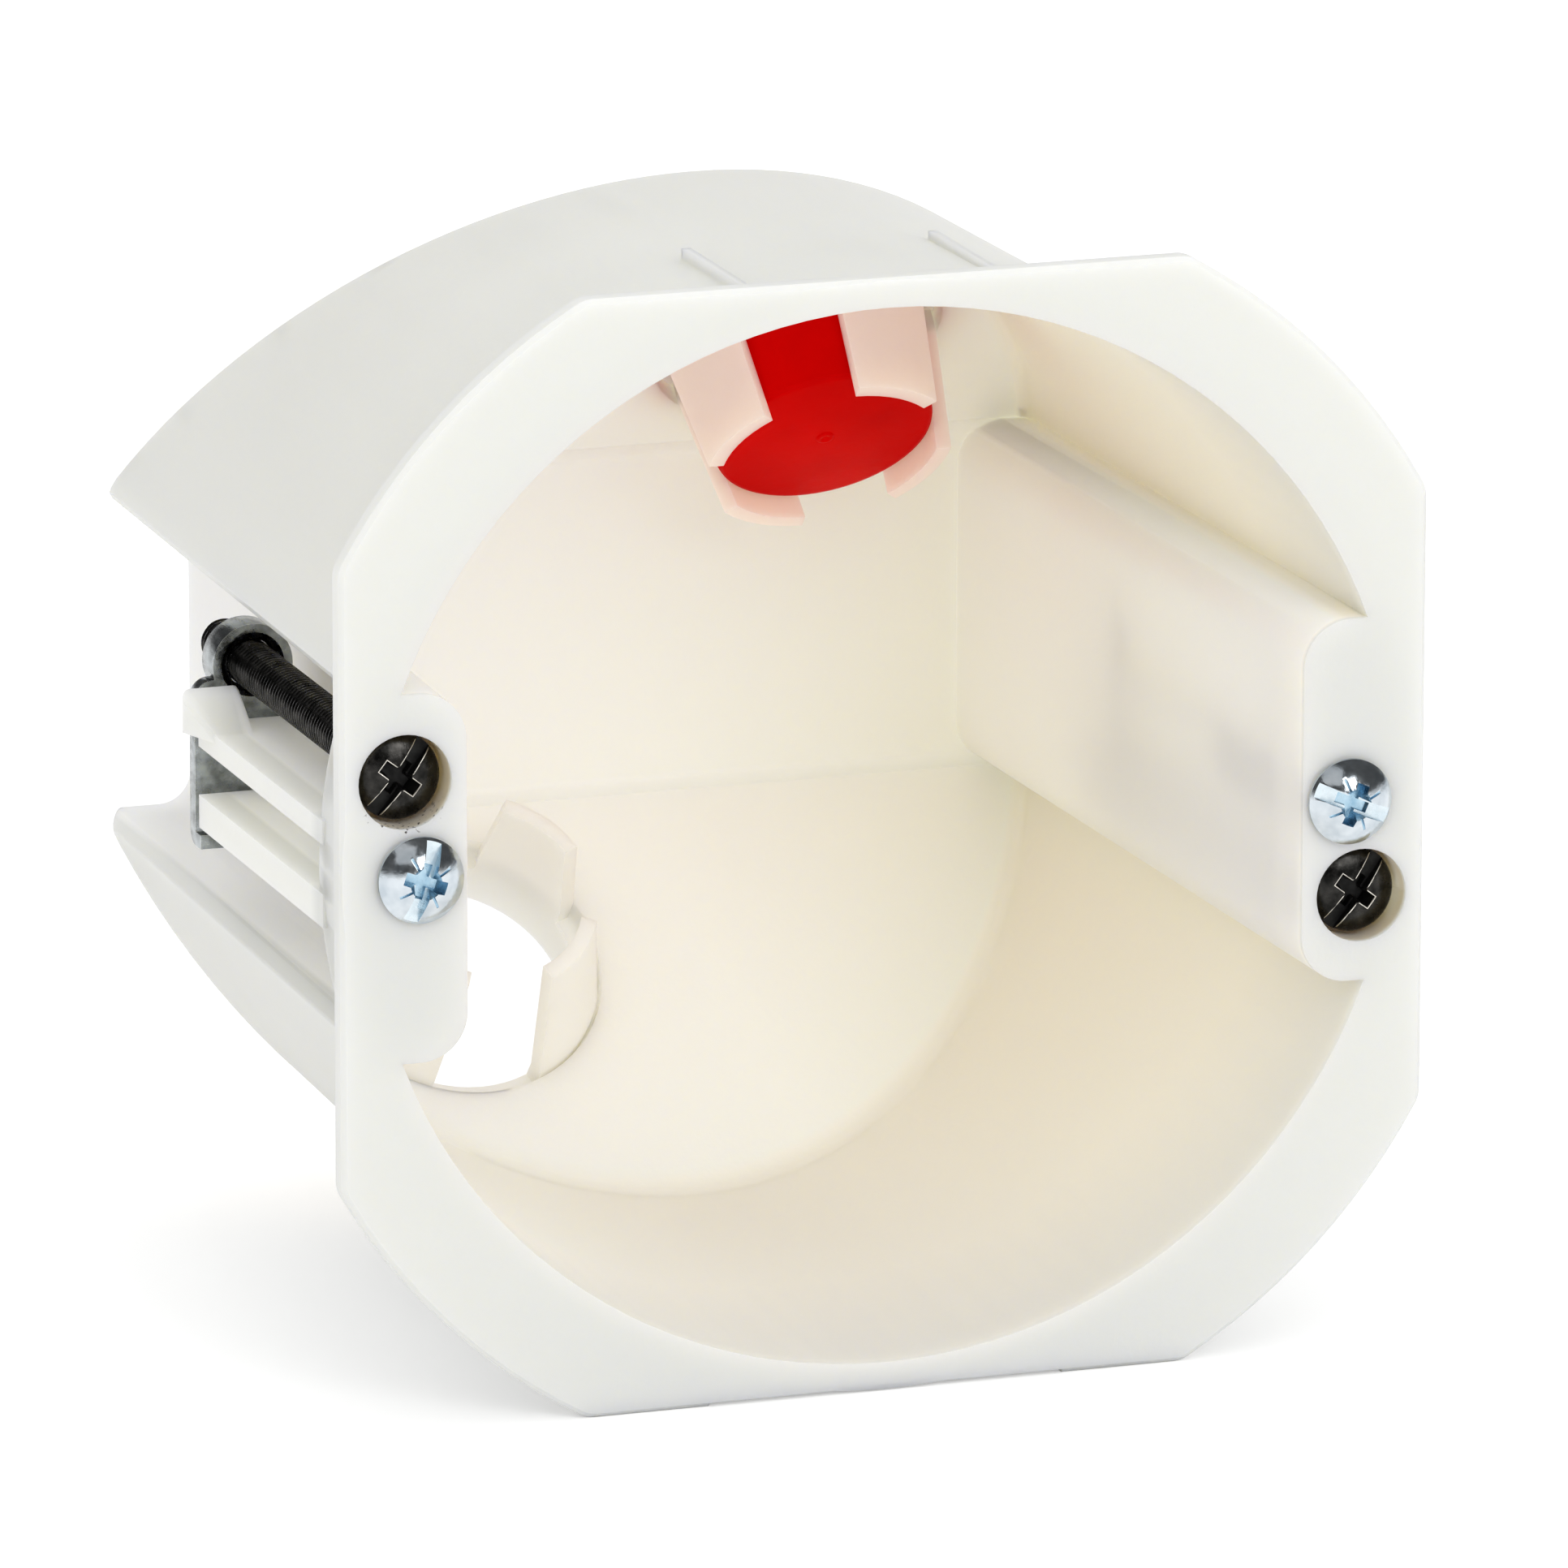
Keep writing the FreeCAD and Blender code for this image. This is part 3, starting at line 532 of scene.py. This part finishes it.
def carve(form, cutters):
    """Takes the cutters out of a form."""
    def holder(shape):
        mesh = bpy.data.meshes.new("blank")
        bmesh.ops.recalc_face_normals(shape, faces=shape.faces[:])
        shape.to_mesh(mesh)
        shape.free()
        thing = bpy.data.objects.new("blank", mesh)
        bpy.context.scene.collection.objects.link(thing)
        return thing

    blank = holder(form)
    tools = [holder(cutter) for cutter in cutters]
    for tool in tools:
        step = blank.modifiers.new("cut", "BOOLEAN")
        step.operation = "DIFFERENCE"
        step.solver = "EXACT"
        step.object = tool
    bpy.context.view_layer.update()
    graph = bpy.context.evaluated_depsgraph_get()
    mesh = bpy.data.meshes.new_from_object(blank.evaluated_get(graph))
    result = bmesh.new()
    result.from_mesh(mesh)
    for thing in [blank] + tools:
        old = thing.data
        bpy.data.objects.remove(thing)
        bpy.data.meshes.remove(old)
    bpy.data.meshes.remove(mesh)
    bmesh.ops.remove_doubles(result, verts=result.verts[:], dist=1e-4)
    return result


def join_forms(*forms):
    joined = bmesh.new()
    for form in forms:
        mesh = bpy.data.meshes.new("part")
        form.to_mesh(mesh)
        form.free()
        joined.from_mesh(mesh)
        bpy.data.meshes.remove(mesh)
    return joined


def node_form(node):
    """A node's own form in millimetres, its flat facets joined into whole faces."""
    form = bmesh.new()
    form.from_mesh(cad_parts[node].data)
    form.transform(Matrix.Diagonal((1 / MM, 1 / MM, 1 / MM, 1.0)))
    bmesh.ops.remove_doubles(form, verts=form.verts[:], dist=1e-3)
    bmesh.ops.dissolve_limit(form, angle_limit=math.radians(1), verts=form.verts[:], edges=form.edges[:])
    return form


def smooth_by_angle(piece, angle):
    for face in piece.data.polygons:
        face.use_smooth = True
    piece.data.set_sharp_from_angle(angle=math.radians(angle))


def soften_rims(form, wanted, width, finish=0, segments=2, held=True):
    """Rounds the edges that a test picks with a narrow band; finish is the band's material slot."""
    picked = [edge for edge in form.edges if len(edge.link_faces) == 2 and
              edge.calc_face_angle(0.0) > math.radians(35) and wanted(edge)]
    bmesh.ops.bevel(form, geom=picked, offset=width, offset_type="OFFSET", segments=segments, profile=0.6,
                    affect="EDGES", material=finish, clamp_overlap=held)


def stand_in(piece, node, body):
    """The piece takes the node's place and rides on its body."""
    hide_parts(node)
    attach(piece, body)


# Screws

def threaded_shank(start, end, steps=36, per_turn=8):
    """A right-hand thread along Y, running out in a chamfer at its end."""
    form = bmesh.new()
    count = int(round((end - start) / THREAD_PITCH * per_turn))
    rings = []
    for row in range(count + 1):
        depth = start + (end - start) * row / count
        allowed = min(THREAD_RADIUS, THREAD_RADIUS - TIP_CHAMFER + (end - depth))
        ring = []
        for step in range(steps):
            turn = 2 * math.pi * step / steps
            phase = (depth / THREAD_PITCH + step / steps) % 1.0
            ridge = min(1.0, CREST_FLATTENING * (1.0 - abs(2.0 * phase - 1.0)))
            radius = min(THREAD_RADIUS - THREAD_DEPTH * (1.0 - ridge), allowed)
            ring.append(form.verts.new((radius * math.cos(turn), depth, radius * math.sin(turn))))
        rings.append(ring)
    for low, high in zip(rings, rings[1:]):
        for step in range(steps):
            following = (step + 1) % steps
            form.faces.new([low[step], low[following], high[following], high[step]])
    form.faces.new(rings[0][::-1])
    form.faces.new(rings[-1])
    return form


def cross_outline(half_width, half_span, nib=0.0):
    """A cross of four arms; the lands between the arms end in a nib that is cut off at the middle."""
    inner = ((half_width + nib, half_width), (half_width, half_width + nib)) if nib else \
        ((half_width, half_width),)
    corners = []
    for quarter in range(4):
        turn = quarter * math.pi / 2
        for along, side in ((half_span, -half_width), (half_span, half_width)) + inner:
            corners.append((along * math.cos(turn) - side * math.sin(turn),
                            along * math.sin(turn) + side * math.cos(turn)))
    return corners


def slot_outline(half_width, half_length):
    return [(-half_length, -half_width), (half_length, -half_width),
            (half_length, half_width), (-half_length, half_width)]


def arc(centre, radius, first, last, steps):
    """Points on an arc in the (radius, depth) plane, angles in degrees from the radius axis."""
    points = []
    for step in range(steps + 1):
        turn = math.radians(first + (last - first) * step / steps)
        points.append((centre[0] + radius * math.cos(turn), centre[1] + radius * math.sin(turn)))
    return points


def driver_marks():
    """The four short marks between the arms of the cross."""
    half_width = 0.085
    half_length = 0.45
    depth = 0.50
    from_middle = 1.38
    marks = []
    for quarter in range(4):
        mark = prism(slot_outline(half_width, half_length), CUTTER_START, depth, 0.9)
        bmesh.ops.translate(mark, verts=mark.verts[:], vec=(from_middle, 0, 0))
        bmesh.ops.rotate(mark, verts=mark.verts[:], cent=(0, 0, 0),
                         matrix=Matrix.Rotation(math.radians(45 + 90 * quarter), 3, "Y"))
        marks.append(mark)
    return marks


def domed_head():
    """A rounded head with a slot, a cross recess and the marks of the driver between the arms."""
    rise = 1.18
    chamfer = 0.08
    slot_depth = 1.02
    slot_floor_above = 0.75
    cross_depth = 1.35
    cross_half_span = 1.62
    height = DOMED_HEAD_HEIGHT
    sphere = (HEAD_RADIUS ** 2 + rise ** 2) / (2 * rise)
    lean = math.degrees(math.asin(HEAD_RADIUS / sphere))
    profile = [(0.0, 0.0)] + arc((0.0, sphere), sphere, -90 + lean / 9, -90 + lean, 8)
    profile += [(HEAD_RADIUS, height - chamfer), (HEAD_RADIUS - chamfer, height), (0.0, height)]
    cross = prism(cross_outline(SLOT_HALF_WIDTH, cross_half_span), CUTTER_START, cross_depth, RECESS_TAPER)
    slot = prism(slot_outline(SLOT_HALF_WIDTH, SLOT_HALF_LENGTH), CUTTER_START, slot_depth)
    cone = lathe([(0.0, -0.4), (1.32, -0.4), (0.55, 0.9), (0.0, 1.05)], 24)
    head = carve(lathe(profile, HEAD_STEPS), [cross, slot] + driver_marks() + [cone])
    for face in head.faces:
        centre = face.calc_center_median()
        radius = centre.xz.length
        below = centre.y - sphere + math.sqrt(sphere ** 2 - min(radius, HEAD_RADIUS) ** 2)
        # the recess faces take the zinc's painted shade, and the slot's floor its painted highlight
        if centre.y < height - 0.1 and radius < HEAD_RADIUS - 0.02 and below > 0.04:
            on_slot_floor = centre.y > slot_floor_above and abs(face.normal.y) > 0.9 and radius > 1.0
            face.material_index = 2 if on_slot_floor else 1
    soften_rims(head, lambda edge: all(vert.co.y < 1.0 for vert in edge.verts), RECESS_WEAR)
    return head


def flat_head():
    """A low flat head with a cross recess and a slot, their rims worn bright."""
    crown = 6.0
    land = 2.2
    chamfer = 0.06
    slot_depth = 0.85
    cross_depth = 1.40
    cross_half_span = 1.55
    nib = 0.22
    height = FLAT_HEAD_HEIGHT
    lean = math.degrees(math.asin(land / crown))
    fall = crown - math.sqrt(crown ** 2 - land ** 2)
    profile = [(0.0, 0.0)] + arc((0.0, crown), crown, -90 + lean / 6, -90 + lean, 5)
    profile += [(HEAD_RADIUS - 0.18, fall + 0.16), (HEAD_RADIUS - 0.04, fall + 0.32)]
    profile += [(HEAD_RADIUS, fall + 0.5), (HEAD_RADIUS, height - chamfer)]
    profile += [(HEAD_RADIUS - chamfer, height), (0.0, height)]
    outline = cross_outline(SLOT_HALF_WIDTH, cross_half_span, nib)
    cross = prism(outline, CUTTER_START, cross_depth, RECESS_TAPER)
    slot = prism(slot_outline(SLOT_HALF_WIDTH, SLOT_HALF_LENGTH), CUTTER_START, slot_depth)
    head = carve(lathe(profile, HEAD_STEPS), [cross, slot])
    for face in head.faces:
        centre = face.calc_center_median()
        radius = centre.xz.length
        surface = crown - math.sqrt(crown ** 2 - min(radius, land) ** 2) + max(0.0, radius - land) * 1.4
        # the recess faces take the painted shade
        if centre.y < height - 0.1 and radius < HEAD_RADIUS - 0.02 and centre.y - surface > 0.06:
            face.material_index = 2

    def on_recess_rim(edge):
        return (all(vert.co.y < 0.62 and vert.co.xz.length < HEAD_RADIUS - 0.1 for vert in edge.verts) and
                {face.material_index for face in edge.link_faces} == {0, 2})

    soften_rims(head, on_recess_rim, SLOT_WEAR, 1, held=False)
    return head


def make_screw(node, body, head, place, turn, start, length, materials):
    """A head and a threaded shank, which starts a little inside the head."""
    form = join_forms(head, threaded_shank(start - 0.1, start + length))
    matrix = Matrix.Translation(place) @ Matrix.Rotation(math.radians(turn), 4, "Y")
    piece = new_piece(node + "_cut", form, materials, matrix)
    smooth_by_angle(piece, 32)
    stand_in(piece, node, body)


for hand, side in (("left", -1), ("right", 1)):
    make_screw("claw_screw_" + hand, hand + "_claw_screw", flat_head(),
               (side * CLAW_SCREW[0], CLAW_SCREW[1], -side * CLAW_SCREW[2]), -HEAD_TURNS["claw_" + hand],
               FLAT_HEAD_HEIGHT, CLAW_SCREW_LENGTH, [BLACK_OXIDE, WORN_EDGE, BLACK_RECESS_SHADE])
    make_screw("device_screw_" + hand, hand + "_device_screw", domed_head(),
               (side * DEVICE_SCREW[0], DEVICE_SCREW[1], DEVICE_SCREW[2]), -HEAD_TURNS["device_" + hand],
               DOMED_HEAD_HEIGHT, DEVICE_SCREW_LENGTH, [ZINC_PLATE, ZINC_RECESS_SHADE, ZINC_SLOT_HIGHLIGHT])


# Plug and claws: the solids' own forms, with their sharp edges narrowly rounded

def soften_node(node, name, body, width, materials):
    """A copy of a node's form; its rounded edges take the last of its materials."""
    form = node_form(node)
    soften_rims(form, lambda edge: edge.calc_face_angle(0.0) > math.radians(40), width, len(materials) - 1)
    piece = new_piece(name, form, materials)
    smooth_by_angle(piece, 35)
    stand_in(piece, node, body)


soften_node("blanking_plug", "plug_cup", "plug", PLUG_ROUNDING, [RED_MOULDING])
for hand in ("left", "right"):
    # the claws' rounded edges take a bright painted highlight
    soften_node("claw_" + hand, "claw_sheet_" + hand, hand + "_claw", SHEET_ROUNDING,
                [CLAW_ZINC, CLAW_EDGE_HIGHLIGHT])


# The moulding: the solid's own form, with its rims, ribs, noses and horns rounded

def lies_in(vert, across, deep, up):
    """Whether a corner lies between limits in millimetres; across and up count on both sides alike."""
    places = (abs(vert.co.x), vert.co.y, abs(vert.co.z))
    return all(low < place < high for place, (low, high) in zip(places, (across, deep, up)))


def softened_moulding():
    """The moulding; its horns are the long edges where the barrel ends above and below each channel."""
    form = node_form("box_body")

    # each nose's ramp is steeper than the solid's: its foot stands closer to the claw
    for vert in form.verts:
        if lies_in(vert, *NOSE_FOOT_LIMITS):
            vert.co.y = RIB_END - (RIB_END - vert.co.y) * NOSE_SHORTENING

    def within(edge, limits):
        return all(lies_in(vert, *limits) for vert in edge.verts)

    def on_horn(edge):
        return edge.calc_length() > HORN_SHORTEST_EDGE and within(edge, HORN_LIMITS)

    def on_nose(edge):
        return edge.is_convex and edge.calc_length() > NOSE_SHORTEST_EDGE and within(edge, NOSE_LIMITS)

    def on_rib(edge):
        return edge.is_convex and within(edge, RIB_LIMITS)

    def on_front(edge):
        return within(edge, FRONT_LIMITS)

    soften_rims(form, on_horn, HORN_ROUNDING, segments=3)
    soften_rims(form, on_nose, NOSE_ROUNDING, segments=3, held=False)
    soften_rims(form, on_rib, RIB_ROUNDING)
    soften_rims(form, on_front, FRONT_ROUNDING)
    piece = new_piece("moulding", form, [WHITE_MOULDING])
    smooth_by_angle(piece, 40)
    weighting = piece.modifiers.new("even shading", "WEIGHTED_NORMAL")
    weighting.keep_sharp = True
    stand_in(piece, "box_body", "box")


softened_moulding()


# Small marks

def gate_mark():
    """The little ring that the mould's gate leaves in the middle of the plug's closed end."""
    profile = [(0.0, 0.02), (0.16, 0.0), (0.30, -0.10), (0.42, -0.13), (0.54, -0.10), (0.62, 0.05)]
    profile += [(0.0, 0.3)]
    place = Matrix.Translation(PLUG_POINT) @ Matrix.Rotation(math.radians(-45), 4, "X") @ \
        Matrix.Translation((0, 0, -PLUG_REACH)) @ Matrix.Rotation(math.radians(90), 4, "X")
    piece = new_piece("plug_gate_mark", lathe(profile, 28), [RED_MOULDING], place)
    smooth_by_angle(piece, 50)
    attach(piece, "plug")


gate_mark()


# Stage, light and camera

def make_stage():
    """A pale floor under the flange, which looks white to the camera and keeps the shadow."""
    floor = bmesh.new()
    corners = [floor.verts.new((x * FLOOR_REACH, y * FLOOR_REACH, FLANGE_BOTTOM * MM))
               for x, y in ((-1, -1), (1, -1), (1, 1), (-1, 1))]
    floor.faces.new(corners)
    mesh = bpy.data.meshes.new("floor")
    floor.to_mesh(mesh)
    floor.free()
    piece = bpy.data.objects.new("floor", mesh)
    bpy.context.scene.collection.objects.link(piece)
    material, shader, wires = new_material("pale floor", roughness=0.9, Specular_IOR_Level=0.1)
    shader.inputs["Base Color"].default_value = FLOOR_PALE
    shader.inputs["Emission Color"].default_value = WHITE
    path = wires.add("LightPath")
    seen = wires.maths("MAXIMUM", path.outputs["Is Camera Ray"], path.outputs["Is Glossy Ray"])
    wires.feed(shader.inputs["Emission Strength"], wires.times(seen, FLOOR_GLOW))
    material.cycles.emission_sampling = "NONE"
    mesh.materials.append(material)


make_stage()


def make_world():
    """White to the camera; shiny metal mirrors a dim room above the pale table."""
    world = bpy.data.worlds.new("studio")
    world.use_nodes = True
    bpy.context.scene.world = world
    wires = Wires(world.node_tree)
    background = world.node_tree.nodes["Background"]
    background.inputs["Color"].default_value = WHITE
    path = wires.add("LightPath")
    seen = wires.maths("MAXIMUM", path.outputs["Is Camera Ray"], path.outputs["Is Transmission Ray"])
    split = wires.add("SeparateXYZ")
    wires.feed(split.inputs[0], wires.add("TexCoord").outputs["Generated"])
    above = wires.spread(split.outputs[2], *ROOM_EDGE, smooth=True)
    mirrored = wires.maths("MULTIPLY_ADD", above, ROOM_LEVEL - SKY_LEVEL, SKY_LEVEL)
    light = wires.add("Mix", data_type="FLOAT")
    wires.feed(light.inputs[0], path.outputs["Is Glossy Ray"])
    wires.feed(light.inputs[2], SKY_LEVEL)
    wires.feed(light.inputs[3], mirrored)
    wires.feed(background.inputs["Strength"], wires.maths("MAXIMUM", light.outputs[0], seen))


make_world()


def add_lamp(name, place, width, energy):
    """A square softbox aimed at the box."""
    data = bpy.data.lights.new(name, "AREA")
    data.shape = "RECTANGLE"
    data.size = width
    data.size_y = width
    data.energy = energy
    lamp = bpy.data.objects.new(name, data)
    bpy.context.scene.collection.objects.link(lamp)
    lamp.location = place
    lamp.rotation_euler = (Vector(LAMP_AIM) - Vector(place)).to_track_quat("-Z", "Y").to_euler()


for lamp_values in LAMPS:
    add_lamp(*lamp_values)


def make_camera():
    """The photograph's own viewpoint, fitted to the flange, the screws and the outline."""
    data = bpy.data.cameras.new("camera")
    data.sensor_width = SENSOR_WIDTH
    data.lens = SENSOR_WIDTH * FOCAL_PIXELS / IMAGE_WIDTH
    data.clip_start = 0.05
    data.clip_end = 20.0
    camera = bpy.data.objects.new("camera", data)
    bpy.context.scene.collection.objects.link(camera)
    right = Vector(CAMERA_RIGHT).normalized()
    ahead = Vector(CAMERA_AHEAD).normalized()
    above = right.cross(ahead).normalized()
    turn = Matrix((right, above, -ahead)).transposed().to_4x4()
    camera.matrix_world = Matrix.Translation(CAMERA_PLACE) @ turn
    bpy.context.scene.camera = camera


make_camera()
bpy.context.scene.view_settings.view_transform = "Standard"

bpy.context.view_layer.update()
